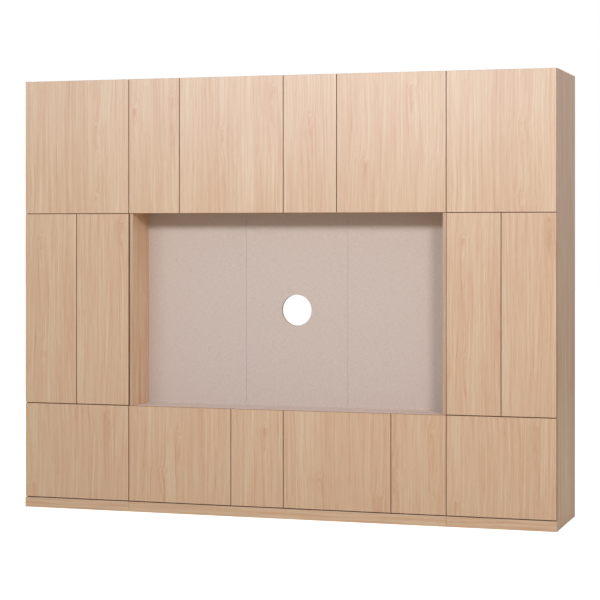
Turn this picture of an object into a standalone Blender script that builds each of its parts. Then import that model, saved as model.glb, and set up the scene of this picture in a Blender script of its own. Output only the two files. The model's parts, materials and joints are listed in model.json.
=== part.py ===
"""Entertainment wall: two tall columns, a low run, a bridge over it and a lined niche between them.

Metres, +Z up, +X along the width. The doors face -Y. The origin is the centre of the footprint on the floor.
Every front is a plain overlay door on concealed cup hinges, kept by a push latch behind its free edge.
"""

import math

import bmesh
import bpy
from mathutils import Matrix, Vector

for old in list(bpy.data.objects):
    bpy.data.objects.remove(old, do_unlink=True)

# Widths, from the left end to the right end
left_column_width = 0.630
run_width = 1.800
right_column_width = 0.585

# Heights of the rows, from the floor up
plinth_row = 0.057
base_row = 0.530
middle_row = 1.063
top_row = 0.745

# Depths, from the door fronts to the wall
carcass_depth = 0.550
door_thickness = 0.018
door_standoff = 0.0025
niche_depth = 0.240

# Boards
board = 0.018
back_thickness = 0.009
back_setback = 0.018
back_groove = 0.006
shelf_thickness = 0.018
shelf_setback = 0.030

# Gaps
plinth_gap = 0.005
counter_gap = 0.004
row_gap = 0.003
column_gap = 0.003
end_reveal = 0.002
top_reveal = 0.001
plinth_joint = 0.001
shelf_play = 0.0005
seat = 0.0003
door_arris = 0.001

# Niche
lining_thickness = 0.018
lining_recess = 0.010
lining_standoff = 0.0025
niche_board_thickness = 0.018
niche_seam = 0.001
housing_depth = 0.003
cable_hole_diameter = 0.170

# Concealed hinge, door half
cup_inset = 0.0225
cup_diameter = 0.033
cup_depth = 0.0115
flange_length = 0.062
flange_width = 0.024
flange_thickness = 0.0012
knuckle_diameter = 0.005
knuckle_inset = 0.009
knuckle_depth = 0.005
hinge_inset = 0.090

# Concealed hinge, carcass half
plate_height = 0.050
plate_width = 0.022
plate_thickness = 0.0025
plate_setback = 0.037
arm_width = 0.014
arm_length = 0.078
arm_shoulder = 0.022
arm_nose = 0.009
arm_crown = 0.008
arm_tail = 0.006
hinge_gap = 0.0013

# Push latch
latch_inset = 0.045
latch_width = 0.014
latch_height = 0.014
latch_length = 0.060
latch_lip = 0.001
plunger_diameter = 0.008

# Shelf pin
pin_diameter = 0.005
pin_length = 0.008
pin_setback = 0.040

# Working values
sink = 0.001
overrun = 0.002
cup_facets = 24
hole_facets = 64
pin_facets = 8
plunger_facets = 12
knuckle_facets = 8
tall_hinge_count = 3
short_hinge_count = 2

# Shares of the clear height at which the shelves stand
middle_shelf_shares = (1 / 3, 2 / 3)
single_shelf_share = 1 / 2
# How round a bevel is: one half is an arc
bevel_profile_share = 1 / 2
# Outline of a hinge flange, as shares of its width and length
flange_outline_shares = (
    (-0.50, -0.28), (-0.30, -0.50), (0.30, -0.50), (0.50, -0.28),
    (0.50, 0.28), (0.30, 0.50), (-0.30, 0.50), (-0.50, 0.28),
)

# Lines that the pieces share
overall_width = left_column_width + run_width + right_column_width
left_end = -overall_width / 2
left_line = left_end + left_column_width
right_line = left_line + run_width
right_end = right_line + right_column_width
middle_line = (left_line + right_line) / 2
run_left_third = left_line + run_width / 3
run_right_third = middle_line + run_width / 3
run_left_sixth = left_line + run_width / 6
run_right_sixth = middle_line + run_width / 6

overall_depth = door_thickness + door_standoff + carcass_depth
front = -overall_depth / 2
door_back = front + door_thickness
carcass_front = door_back + door_standoff
rear = overall_depth / 2
back_front = rear - back_setback - back_thickness
panel_rear = back_front - seat

counter_line = plinth_row + base_row
bridge_line = counter_line + middle_row
top_line = bridge_line + top_row
base_floor = plinth_row + plinth_gap / 2
counter_top = counter_line - counter_gap / 2
counter_underside = counter_top - board
bridge_underside = bridge_line + row_gap / 2
niche_bottom = counter_top + seat
niche_top = bridge_underside - seat

boards_front = front + niche_depth
boards_rear = boards_front + niche_board_thickness
left_lining = left_line + lining_standoff
right_lining = right_line - lining_standoff - lining_thickness
housing_floor = counter_top - housing_depth


def material(name, colour, roughness, metallic=0.0):
    made = bpy.data.materials.new(name)
    made.use_nodes = True
    shader = made.node_tree.nodes["Principled BSDF"]
    shader.inputs["Base Color"].default_value = (*colour, 1.0)
    shader.inputs["Roughness"].default_value = roughness
    shader.inputs["Metallic"].default_value = metallic
    return made


oak = material("light_oak_laminate", (0.60, 0.44, 0.30), 0.5)
linen = material("beige_linen_laminate", (0.60, 0.50, 0.43), 0.7)
backing = material("thin_backing_board", (0.58, 0.50, 0.41), 0.7)


def add_box(shape, low, high):
    """Adds a box between two corners to a bmesh."""
    corners = bmesh.ops.create_cube(shape, size=1)["verts"]
    low = Vector(low)
    high = Vector(high)
    bmesh.ops.scale(shape, vec=high - low, verts=corners)
    bmesh.ops.translate(shape, vec=(low + high) / 2, verts=corners)


def add_cylinder(shape, centre, axis, diameter, length, facets):
    """Adds a cylinder centred on a point to a bmesh, along a world axis."""
    turn = Vector((0, 0, 1)).rotation_difference(Vector(axis)).to_matrix().to_4x4()
    bmesh.ops.create_cone(
        shape,
        cap_ends=True,
        segments=facets,
        radius1=diameter / 2,
        radius2=diameter / 2,
        depth=length,
        matrix=Matrix.Translation(centre) @ turn,
    )


def add_prism(shape, outline, along):
    """Adds the solid that a flat outline sweeps along a vector to a bmesh."""
    face = shape.faces.new([shape.verts.new(point) for point in outline])
    swept = bmesh.ops.extrude_face_region(shape, geom=[face])["geom"]
    bmesh.ops.translate(shape, vec=along, verts=[v for v in swept if isinstance(v, bmesh.types.BMVert)])
    bmesh.ops.recalc_face_normals(shape, faces=shape.faces)


def place(name, shape, finish, origin):
    """Turns a bmesh in world coordinates into an object whose origin is at the given point."""
    bmesh.ops.translate(shape, vec=-Vector(origin), verts=shape.verts)
    mesh = bpy.data.meshes.new(name)
    shape.to_mesh(mesh)
    shape.free()
    made = bpy.data.objects.new(name, mesh)
    made.location = origin
    if finish:
        mesh.materials.append(finish)
    bpy.context.collection.objects.link(made)
    return made


def combine(target, shape, operation):
    """Joins a bmesh to an object, or cuts it away, as a hidden tool of a Boolean modifier."""
    if not shape.faces:
        shape.free()
        return
    tool = place(f"{target.name}_{operation.lower()}_{len(target.modifiers)}", shape, None, target.location)
    tool.hide_render = True
    tool.display_type = "WIRE"
    boolean = target.modifiers.new(operation.title(), "BOOLEAN")
    boolean.operation = operation
    boolean.solver = "EXACT"
    boolean.use_self = True
    boolean.object = tool


def panel(name, low, high, finish):
    """One flat board between two corners, its origin at its centre."""
    shape = bmesh.new()
    add_box(shape, low, high)
    return place(name, shape, finish, (Vector(low) + Vector(high)) / 2)


def hinge_heights(low, high, count):
    """The heights of a door's hinges: one near each end, and the rest spaced between them."""
    first = low + hinge_inset
    step = (high - hinge_inset - first) / (count - 1)
    return [first + step * number for number in range(count)]


def add_hinge_arm(shape, face, inward, rise, height):
    """A mounting plate on a side's inner face, with the arm that reaches forward to the door's cup."""
    plate_near = carcass_front + plate_setback - plate_width / 2
    plate_far = carcass_front + plate_setback + plate_width / 2
    edges = sorted((face - sink * inward, face + plate_thickness * inward))
    add_box(
        shape,
        (edges[0], plate_near, height - plate_height / 2),
        (edges[1], plate_far, height + plate_height / 2),
    )
    nose = door_back + flange_thickness + hinge_gap
    tail = carcass_front + arm_length
    under = plate_thickness - sink
    profile = (
        (nose, rise - arm_nose / 2),
        (nose, rise + arm_nose / 2),
        (carcass_front + arm_shoulder, rise + arm_crown),
        (tail - arm_shoulder, rise + arm_crown),
        (tail, arm_tail),
        (tail, under),
        (plate_near, under),
    )
    bottom = height - arm_width / 2
    outline = [(face + off * inward, y, bottom) for y, off in profile]
    add_prism(shape, outline, (0, 0, arm_width))


def add_shelf_pins(shape, face, inward, underside, near, far):
    """Two pins on a side's face that a shelf rests on."""
    centre = face + (pin_length - sink) / 2 * inward
    for y in (near + pin_setback, far - pin_setback):
        height = underside - seat - pin_diameter / 2
        add_cylinder(
            shape, (centre, y, height), (inward, 0, 0), pin_diameter, pin_length + sink, pin_facets
        )


def add_latch(shape, x, underside):
    """A push latch hung under a board, its plunger standing just behind the closed door."""
    housing_front = carcass_front + latch_lip
    bottom = underside - latch_height
    add_box(
        shape,
        (x - latch_width / 2, housing_front, bottom),
        (x + latch_width / 2, housing_front + latch_length, underside + sink),
    )
    tip = door_back + seat
    length = housing_front + sink - tip
    middle = (x, tip + length / 2, (bottom + underside) / 2)
    add_cylinder(shape, middle, (0, 1, 0), plunger_diameter, length, plunger_facets)


# Each upright board: the place of its left face, and its lower and upper edge
half_seat = seat / 2
side_places = {
    "left_column_outer_side": (left_end, 0, top_line),
    "left_column_inner_side": (left_line - half_seat - board, 0, top_line),
    "run_left_side": (left_line + half_seat, 0, counter_underside - seat),
    "run_partition": (middle_line - board / 2, base_floor + board + seat, counter_underside - seat),
    "run_right_side": (right_line - half_seat - board, 0, counter_underside - seat),
    "bridge_left_side": (left_line + half_seat, bridge_underside, top_line),
    "bridge_partition": (
        middle_line - board / 2, bridge_underside + board + seat, top_line - board - seat
    ),
    "bridge_right_side": (right_line - half_seat - board, bridge_underside, top_line),
    "right_column_inner_side": (right_line + half_seat, 0, top_line),
    "right_column_outer_side": (right_end - board, 0, top_line),
}

# The rows of doors: lower edge, upper edge and the upright lines that part them
rows = {
    "base": (base_floor, counter_top),
    "middle": (counter_line + counter_gap / 2, bridge_line - row_gap / 2),
    "top": (bridge_underside, top_line - top_reveal),
}

# Each door: name, row, left line, right line, hinge side, the side that carries it, and its hinges
left_half = left_end + left_column_width / 2
right_half = right_end - right_column_width / 2
doors = (
    ("base_door_1", "base", left_end, left_line, -1, "left_column_outer_side", short_hinge_count),
    ("base_door_2", "base", left_line, run_left_third, -1, "run_left_side", short_hinge_count),
    ("base_door_3", "base", run_left_third, middle_line, 1, "run_partition", short_hinge_count),
    ("base_door_4", "base", middle_line, run_right_third, -1, "run_partition", short_hinge_count),
    ("base_door_5", "base", run_right_third, right_line, 1, "run_right_side", short_hinge_count),
    ("base_door_6", "base", right_line, right_end, 1, "right_column_outer_side", short_hinge_count),
    ("middle_door_1", "middle", left_end, left_half, -1, "left_column_outer_side", tall_hinge_count),
    ("middle_door_2", "middle", left_half, left_line, 1, "left_column_inner_side", tall_hinge_count),
    ("middle_door_3", "middle", right_line, right_half, -1, "right_column_inner_side", tall_hinge_count),
    ("middle_door_4", "middle", right_half, right_end, 1, "right_column_outer_side", tall_hinge_count),
    ("top_door_1", "top", left_end, left_line, -1, "left_column_outer_side", short_hinge_count),
    ("top_door_2", "top", left_line, run_left_sixth, -1, "bridge_left_side", short_hinge_count),
    ("top_door_3", "top", run_left_sixth, middle_line, 1, "bridge_partition", short_hinge_count),
    ("top_door_4", "top", middle_line, run_right_sixth, -1, "bridge_partition", short_hinge_count),
    ("top_door_5", "top", run_right_sixth, right_line, 1, "bridge_right_side", short_hinge_count),
    ("top_door_6", "top", right_line, right_end, 1, "right_column_outer_side", short_hinge_count),
)


def door_edges(left, right):
    """Where a door's upright edges lie between the lines of its row."""
    near_left = end_reveal if left == left_end else column_gap / 2
    near_right = end_reveal if right == right_end else column_gap / 2
    return left + near_left, right - near_right


def build_door(name, row, left, right, hinge, count):
    """A slab door with softened front edges, its hinge cups sunk in its back, its origin on its axis."""
    low, high = rows[row]
    edges = door_edges(left, right)
    axis_x = edges[0] if hinge < 0 else edges[1]
    shape = bmesh.new()
    add_box(shape, (edges[0], front, low), (edges[1], door_back, high))
    ahead = max(shape.faces, key=lambda face: -face.calc_center_median().y)
    bmesh.ops.bevel(
        shape,
        geom=list(ahead.edges),
        offset=door_arris,
        offset_type="OFFSET",
        segments=1,
        profile=bevel_profile_share,
        affect="EDGES",
        material=-1,
    )
    door = place(name, shape, oak, (axis_x, front, low))
    flanges = bmesh.new()
    cups = bmesh.new()
    knuckles = bmesh.new()
    centre_x = axis_x - hinge * cup_inset
    for height in hinge_heights(low, high, count):
        outline = [
            (centre_x - hinge * flange_width * across, door_back - sink, height + flange_length * along)
            for across, along in flange_outline_shares
        ]
        add_prism(flanges, outline, (0, sink + flange_thickness, 0))
        length = cup_depth + flange_thickness + overrun
        mouth = (centre_x, door_back - cup_depth + length / 2, height)
        add_cylinder(cups, mouth, (0, 1, 0), cup_diameter, length, cup_facets)
        pin_x = centre_x + hinge * (cup_diameter / 2 - knuckle_inset)
        chord = 2 * math.sqrt((cup_diameter / 2) ** 2 - (cup_diameter / 2 - knuckle_inset) ** 2)
        pin = (pin_x, door_back - knuckle_depth, height)
        add_cylinder(knuckles, pin, (0, 0, 1), knuckle_diameter, chord + overrun, knuckle_facets)
    combine(door, flanges, "UNION")
    combine(door, cups, "DIFFERENCE")
    combine(door, knuckles, "UNION")


def clear_span(left_side, right_side):
    """The width between two sides, from inner face to inner face."""
    return side_places[left_side][0] + board, side_places[right_side][0]


def between(left_side, right_side, clearance):
    low, high = clear_span(left_side, right_side)
    return low + clearance, high - clearance


# Bays: name of the shelf, its two sides, clear floor and ceiling, and its height as a share
lower_deck_top = counter_line + board / 2
upper_deck_underside = bridge_line - board / 2
upper_deck_top = bridge_line + board / 2
bay_shelves = []
for column in ("left_column", "right_column"):
    first, second = (
        (f"{column}_outer_side", f"{column}_inner_side")
        if column == "left_column"
        else (f"{column}_inner_side", f"{column}_outer_side")
    )
    for number, share in enumerate(middle_shelf_shares, start=1):
        bay_shelves.append(
            (f"{column}_middle_shelf_{number}", first, second, lower_deck_top, upper_deck_underside, share)
        )
    bay_shelves.append(
        (f"{column}_top_shelf", first, second, upper_deck_top, top_line - board, single_shelf_share)
    )
for unit, floor, ceiling in (
    ("run", base_floor + board, counter_underside),
    ("bridge", bridge_underside + board, top_line - board),
):
    for place_name, first, second in (
        ("left", f"{unit}_left_side", f"{unit}_partition"),
        ("right", f"{unit}_partition", f"{unit}_right_side"),
    ):
        bay_shelves.append((f"{unit}_shelf_{place_name}", first, second, floor, ceiling, single_shelf_share))


def shelf_underside(floor, ceiling, share):
    return floor + (ceiling - floor) * share - shelf_thickness / 2


def build_side(name):
    """An upright board, grooved for the back, with the hinge arms and shelf pins that it carries."""
    left, low, high = side_places[name]
    right = left + board
    partition = name.endswith("partition")
    last = panel_rear if partition else rear
    side = panel(name, (left, carcass_front, low), (right, last, high), oak)
    grooves = bmesh.new()
    if not partition:
        opens_right = name in ("left_column_outer_side", "run_left_side", "bridge_left_side")
        opens_right = opens_right or name == "right_column_inner_side"
        low_x = right - back_groove if opens_right else left - overrun
        high_x = right + overrun if opens_right else left + back_groove
        add_box(
            grooves,
            (low_x, back_front - seat, low - overrun),
            (high_x, back_front + back_thickness + seat, high + overrun),
        )
    combine(side, grooves, "DIFFERENCE")
    fittings = bmesh.new()
    for _, row, door_left, door_right, hinge, carrier, count in doors:
        if carrier != name:
            continue
        inward = -hinge
        face = right if inward > 0 else left
        edges = door_edges(door_left, door_right)
        edge = edges[0] if hinge < 0 else edges[1]
        rise = (edge - face) * inward + cup_inset
        for height in hinge_heights(*rows[row], count):
            add_hinge_arm(fittings, face, inward, rise, height)
    for _, first, second, floor, ceiling, share in bay_shelves:
        underside = shelf_underside(floor, ceiling, share)
        near = carcass_front + shelf_setback
        if name == first:
            add_shelf_pins(fittings, right, 1, underside, near, panel_rear)
        if name == second:
            add_shelf_pins(fittings, left, -1, underside, near, panel_rear)
    combine(side, fittings, "UNION")


def build_level(name, left_side, right_side, underside, latches, finish=oak, rear_edge=panel_rear):
    """A board between two sides, with the push latches that hang under it."""
    low, high = between(left_side, right_side, seat)
    level = panel(name, (low, carcass_front, underside), (high, rear_edge, underside + board), finish)
    fittings = bmesh.new()
    for x in latches:
        add_latch(fittings, x, underside)
    combine(level, fittings, "UNION")


def build_back(name, left_side, right_side, low, high):
    """A thin back, its upright edges held in the grooves of two sides."""
    left, right = clear_span(left_side, right_side)
    reach = back_groove - seat
    panel(
        name,
        (left - reach, back_front, low),
        (right + reach, back_front + back_thickness, high),
        backing,
    )


def free_edges(row, left, right):
    """Where the latches stand: a little inside the free edge of each door of a row between two lines."""
    found = []
    for _, door_row, door_left, door_right, hinge, _, _ in doors:
        if door_row == row and door_left >= left and door_right <= right:
            edges = door_edges(door_left, door_right)
            found.append(edges[1] - latch_inset if hinge < 0 else edges[0] + latch_inset)
    return found


def build_column(column, first, second, left, right):
    """The level boards and the back of one tall column."""
    build_level(f"{column}_bottom", first, second, base_floor, [])
    build_level(
        f"{column}_lower_deck", first, second, lower_deck_top - board, free_edges("base", left, right)
    )
    build_level(
        f"{column}_upper_deck", first, second, upper_deck_underside, free_edges("middle", left, right)
    )
    build_level(f"{column}_top", first, second, top_line - board, free_edges("top", left, right))
    build_back(f"{column}_back", first, second, base_floor, top_line)


def build_run():
    """The low run under the niche: a floor, a back, and a worktop over its sides.

    The worktop is housed for the feet of the niche's linings and back boards.
    """
    build_level("run_bottom", "run_left_side", "run_right_side", base_floor, [])
    build_back("run_back", "run_left_side", "run_right_side", base_floor, counter_underside - seat)
    counter = panel(
        "run_countertop",
        (left_line + half_seat, carcass_front, counter_underside),
        (right_line - half_seat, rear, counter_top),
        linen,
    )
    housings = bmesh.new()
    rear_wall = boards_rear + seat
    over = counter_top + overrun
    for lining in (left_lining, right_lining):
        add_box(
            housings,
            (lining - seat, carcass_front - overrun, housing_floor),
            (lining + lining_thickness + seat, rear_wall, over),
        )
    add_box(housings, (left_lining, boards_front - seat, housing_floor), (right_lining, rear_wall, over))
    combine(counter, housings, "DIFFERENCE")
    fittings = bmesh.new()
    for x in free_edges("base", left_line, right_line):
        add_latch(fittings, x, counter_underside)
    combine(counter, fittings, "UNION")


def build_bridge():
    """The row of cupboards over the niche: a floor and a top between its sides, and a back."""
    build_level("bridge_bottom", "bridge_left_side", "bridge_right_side", bridge_underside, [])
    latches = free_edges("top", left_line, right_line)
    build_level("bridge_top", "bridge_left_side", "bridge_right_side", top_line - board, latches)
    build_back("bridge_back", "bridge_left_side", "bridge_right_side", bridge_underside, top_line)


def build_shelf(name, left_side, right_side, floor, ceiling, share):
    """A loose shelf on four pins, with a little play between its sides."""
    low, high = between(left_side, right_side, shelf_play)
    underside = shelf_underside(floor, ceiling, share)
    near = carcass_front + shelf_setback
    panel(name, (low, near, underside), (high, panel_rear, underside + shelf_thickness), oak)


def build_profiled_board(name, outline, left, right, finish):
    """A board whose outline, seen from the side, is swept from its left face to its right one."""
    shape = bmesh.new()
    add_prism(shape, [(left, y, z) for y, z in outline], (right - left, 0, 0))
    return place(name, shape, finish, (left, *outline[0]))


def build_niche():
    """Two linings housed in the worktop, and three back boards between them, the middle one holed."""
    linings_front = front + lining_recess
    foot = housing_floor + seat
    # A lining overhangs the worktop's front edge, so its foot is notched there
    lining_outline = (
        (linings_front, niche_bottom), (carcass_front, niche_bottom), (carcass_front, foot),
        (boards_rear, foot), (boards_rear, niche_top), (linings_front, niche_top),
    )
    for name, face in (("niche_lining_left", left_lining), ("niche_lining_right", right_lining)):
        build_profiled_board(name, lining_outline, face, face + lining_thickness, oak)
    # A back board's foot is chamfered to lead it into its housing
    board_outline = (
        (boards_front, niche_bottom), (boards_front + housing_depth, foot),
        (boards_rear, foot), (boards_rear, niche_top), (boards_front, niche_top),
    )
    low = left_lining + lining_thickness + seat
    high = right_lining - seat
    places = ("left", "middle", "right")
    pitch = (high - low + niche_seam) / len(places)
    for number, place_name in enumerate(places):
        start = low + pitch * number
        end = start + pitch - niche_seam
        back_board = build_profiled_board(f"niche_board_{place_name}", board_outline, start, end, linen)
        if place_name != "middle":
            continue
        hole = bmesh.new()
        centre = ((start + end) / 2, (boards_front + boards_rear) / 2, (niche_bottom + niche_top) / 2)
        length = niche_board_thickness + overrun
        add_cylinder(hole, centre, (0, 1, 0), cable_hole_diameter, length, hole_facets)
        combine(back_board, hole, "DIFFERENCE")


def build_plinth():
    """Three plinth boards along the floor, flush with the doors, jointed at the columns."""
    half_joint = plinth_joint / 2
    for name, low, high in (
        ("plinth_left", left_end, left_line - half_joint),
        ("plinth_middle", left_line + half_joint, right_line - half_joint),
        ("plinth_right", right_line + half_joint, right_end),
    ):
        panel(name, (low, front, 0), (high, carcass_front - seat, plinth_row - plinth_gap / 2), oak)


for side_name in side_places:
    build_side(side_name)
build_column("left_column", "left_column_outer_side", "left_column_inner_side", left_end, left_line)
build_column("right_column", "right_column_inner_side", "right_column_outer_side", right_line, right_end)
build_run()
build_bridge()
for bay_shelf in bay_shelves:
    build_shelf(*bay_shelf)
build_niche()
build_plinth()
for door_name, row, left, right, hinge, _, count in doors:
    build_door(door_name, row, left, right, hinge, count)
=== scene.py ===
import json
import math

import bmesh
import bpy
from mathutils import Matrix, Vector


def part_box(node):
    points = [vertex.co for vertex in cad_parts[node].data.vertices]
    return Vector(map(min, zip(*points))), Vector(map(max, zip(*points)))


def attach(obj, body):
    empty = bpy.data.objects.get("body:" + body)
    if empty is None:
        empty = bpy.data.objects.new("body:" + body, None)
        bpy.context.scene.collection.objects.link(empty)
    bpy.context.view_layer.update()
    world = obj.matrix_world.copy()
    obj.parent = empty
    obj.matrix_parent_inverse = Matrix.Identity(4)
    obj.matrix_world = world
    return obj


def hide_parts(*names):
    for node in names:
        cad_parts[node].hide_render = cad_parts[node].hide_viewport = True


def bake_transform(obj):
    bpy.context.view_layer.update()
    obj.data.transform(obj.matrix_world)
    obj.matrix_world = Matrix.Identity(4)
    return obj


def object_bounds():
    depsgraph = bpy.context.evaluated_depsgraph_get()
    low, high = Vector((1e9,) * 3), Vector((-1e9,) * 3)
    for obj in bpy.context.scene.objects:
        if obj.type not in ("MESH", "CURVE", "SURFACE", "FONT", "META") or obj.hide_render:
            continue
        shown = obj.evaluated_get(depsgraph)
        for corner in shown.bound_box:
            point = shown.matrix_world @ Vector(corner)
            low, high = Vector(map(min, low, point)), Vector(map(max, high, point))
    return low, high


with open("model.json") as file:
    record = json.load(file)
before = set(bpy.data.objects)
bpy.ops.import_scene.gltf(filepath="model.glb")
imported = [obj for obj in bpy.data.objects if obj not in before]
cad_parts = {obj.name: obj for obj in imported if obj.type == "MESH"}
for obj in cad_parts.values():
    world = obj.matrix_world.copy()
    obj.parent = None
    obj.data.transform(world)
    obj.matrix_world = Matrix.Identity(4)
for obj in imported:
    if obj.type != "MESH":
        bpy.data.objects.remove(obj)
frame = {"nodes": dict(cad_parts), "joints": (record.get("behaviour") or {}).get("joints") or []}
solid_low, solid_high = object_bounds()


# Camera
# The unit was photographed from its right with a long lens held level, the picture shifted down so
# that the uprights stay upright. The place comes from the door gaps and edges.
camera_data = bpy.data.cameras.new("camera")
camera = bpy.data.objects.new("camera", camera_data)
bpy.context.scene.collection.objects.link(camera)
camera_data.sensor_width = 36.0
camera_data.lens = 112.94
camera_data.shift_y = -0.1122
camera.location = (3.184, -9.934, 1.544)
camera.rotation_euler = (math.radians(90.0), 0.0, math.radians(17.63))
bpy.context.scene.camera = camera
bpy.context.scene.view_settings.view_transform = "Standard"


# Studio
# A white room: the sky and the floor show white, and light the unit less than they show, so that
# the lamps still throw the niche's shadows. A soft square lamp stands at the front right, a long
# strip in front, and one lamp each beside the unit and behind it.
white = (1, 1, 1, 1)
sky_fill = 0.430
sky_fill_colour = (0.915, 0.955, 1.06, 1)
floor_colour = (0.70, 0.64, 0.54, 1)
floor_shown = 0.80
shaded_colour = (0.5, 0.5, 0.5, 1)
floor_size = 40.0
floor_drop = 0.0005
floor_cut_inset = 0.004
studio_lamps = (
    # name, place, aim, width, height, power, colour
    ("key_lamp", (3.80, -5.80, 3.60), (0.3, 0, 1.1), 1.1, 1.1, 192, (0.995, 0.985, 0.985)),
    ("strip_lamp", (-0.90, -4.60, 3.10), (-0.4, 0, 1.3), 4.0, 0.5, 115, (0.88, 0.945, 1.03)),
    ("side_lamp", (5.60, 3.70, 3.30), (1.5, 0, 1.6), 1.2, 1.2, 56, (1.0, 0.94, 0.88)),
    ("back_lamp", (-3.40, 5.60, 4.20), (-0.4, 0, 1.6), 3.0, 2.0, 140, (0.98, 0.99, 1.0)),
)


def feed(tree, socket, value):
    """Sets a socket to a value, or links the output of another node to it."""
    if isinstance(value, bpy.types.NodeSocket):
        tree.links.new(value, socket)
    else:
        socket.default_value = value


def feed_all(tree, node, **inputs):
    """Feeds inputs of a node by name, with _ for each space."""
    for name, value in inputs.items():
        feed(tree, node.inputs[name.replace("_", " ")], value)


def add_node(tree, kind, settings=None, **inputs):
    """Adds a shader node. Each input is a value, or the output of another node."""
    made = tree.nodes.new(f"ShaderNode{kind}")
    for name, value in (settings or {}).items():
        setattr(made, name, value)
    feed_all(tree, made, **inputs)
    return made


def worked(tree, operation, first, second=0.0, kind="Math", output=0):
    """The output of a Math or VectorMath node."""
    made = add_node(tree, kind, {"operation": operation})
    for socket, value in zip(made.inputs, (first, second)):
        feed(tree, socket, value)
    return made.outputs[output]


def new_finish(name):
    made = bpy.data.materials.new(name)
    made.use_nodes = True
    return made, made.node_tree, made.node_tree.nodes["Principled BSDF"]


sky = bpy.data.worlds.new("studio_sky")
sky.use_nodes = True
sky_tree = sky.node_tree
shown_sky = add_node(sky_tree, "Background", Color=white, Strength=1.0)
fill_sky = add_node(sky_tree, "Background", Color=sky_fill_colour, Strength=sky_fill)
both_skies = add_node(sky_tree, "MixShader")
feed(sky_tree, both_skies.inputs[0], add_node(sky_tree, "LightPath").outputs["Is Camera Ray"])
feed(sky_tree, both_skies.inputs[1], fill_sky.outputs[0])
feed(sky_tree, both_skies.inputs[2], shown_sky.outputs[0])
feed_all(sky_tree, sky_tree.nodes["World Output"], Surface=both_skies.outputs[0])
bpy.context.scene.world = sky

floor_finish, floor_tree, floor_shader = new_finish("studio_floor")
floor_seen = add_node(floor_tree, "LightPath").outputs["Is Camera Ray"]
feed_all(
    floor_tree, floor_shader, Base_Color=floor_colour, Roughness=0.9, Specular_IOR_Level=0.1,
    Emission_Color=white, Emission_Strength=worked(floor_tree, "MULTIPLY", floor_seen, floor_shown),
)
# A plain grey finish for the floor under the unit: painted shade.
shaded_finish, shaded_tree, shaded_shader = new_finish("studio_floor_painted_shade")
feed_all(shaded_tree, shaded_shader, Base_Color=shaded_colour)

# The floor under the unit is a grey face of its own, darker than the floor and without its white
# glow, as painted shade under the unit
floor_shape = bmesh.new()
bmesh.ops.create_grid(floor_shape, x_segments=1, y_segments=1, size=floor_size)
bmesh.ops.translate(floor_shape, vec=(0, 0, solid_low.z - floor_drop), verts=floor_shape.verts)
for cut_place, cut_normal in (
    ((solid_low.x + floor_cut_inset, 0, 0), (1, 0, 0)),
    ((solid_high.x - floor_cut_inset, 0, 0), (1, 0, 0)),
    ((0, solid_low.y + floor_cut_inset, 0), (0, 1, 0)),
    ((0, solid_high.y - floor_cut_inset, 0), (0, 1, 0)),
):
    bmesh.ops.bisect_plane(
        floor_shape,
        geom=floor_shape.verts[:] + floor_shape.edges[:] + floor_shape.faces[:],
        plane_co=cut_place,
        plane_no=cut_normal,
    )
for face in floor_shape.faces:
    centre = face.calc_center_median()
    if abs(centre.x) < solid_high.x and abs(centre.y) < solid_high.y:
        face.material_index = 1
floor_mesh = bpy.data.meshes.new("floor")
floor_shape.to_mesh(floor_mesh)
floor_shape.free()
floor_mesh.materials.append(floor_finish)
floor_mesh.materials.append(shaded_finish)
floor = bpy.data.objects.new("floor", floor_mesh)
bpy.context.scene.collection.objects.link(floor)

for name, place, aim, width, height, power, colour in studio_lamps:
    lamp_data = bpy.data.lights.new(name, "AREA")
    lamp_data.shape = "RECTANGLE"
    lamp_data.size = width
    lamp_data.size_y = height
    lamp_data.energy = power
    lamp_data.color = colour
    lamp = bpy.data.objects.new(name, lamp_data)
    lamp.location = place
    lamp.rotation_euler = (Vector(aim) - Vector(place)).to_track_quat("-Z", "Y").to_euler()
    bpy.context.scene.collection.objects.link(lamp)


# Upright sides
# Ten chipboard boards, printed with oak on both faces and banded in front and at their ends, with
# the raw core open at the rear. Eight are grooved for their backs, and all are drilled in rows for
# the shelf pins.
board = 0.018
board_arris = 0.0004
groove_depth = 0.0063
groove_play = 0.0003
pin_hole_diameter = 0.0052
pin_hole_depth = 0.0085
pin_hole_pitch = 0.032
pin_holes_each_way = 3
pin_drop = 0.0028
pin_setback = 0.040

tan_print = (0.524, 0.318, 0.186, 1)
middle_print = (0.556, 0.360, 0.218, 1)
pale_print = (0.594, 0.416, 0.262, 1)
plain_gloss = 0.36
dull_gloss = 0.56
grain_turns = {"Z": (0, 0, 0), "X": (0, math.radians(90), 0)}

# Layers of the oak's figure, in cycles a metre, the last of each three being along the grain
sway_scale = (3.0, 3.0, 1.1)
band_scale = (9, 20, 0.35)
hue_scale = (50, 22, 0.9)
line_scale = (118, 44, 1.7)
streak_scale = (98, 26, 1.3)
fibre_scale = (900, 900, 16)
pore_scale = (300, 300, 9)

# How far the rings sway, how much each layer darkens the print, and each colour's share of that
sway_reach = 0.05
line_contrast = 0.90
fibre_contrast = 0.30
streak_shades = (0.012, -0.15)
pore_shades = (0.0, -0.14)
heart_shade = -0.11
flame_closing = 7
colour_shares = (0.38, 1.0, 1.38)


def worked_vector(tree, operation, first, second=(0, 0, 0), output=0):
    return worked(tree, operation, first, second, "VectorMath", output)


def centred(tree, field, contrast, middle=0.5):
    """A pattern about zero, scaled."""
    return worked(tree, "MULTIPLY", worked(tree, "SUBTRACT", field, middle), contrast)


def total(tree, *values):
    """The sum of numbers and outputs."""
    result = values[0]
    for value in values[1:]:
        result = worked(tree, "ADD", result, value)
    return result


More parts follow.
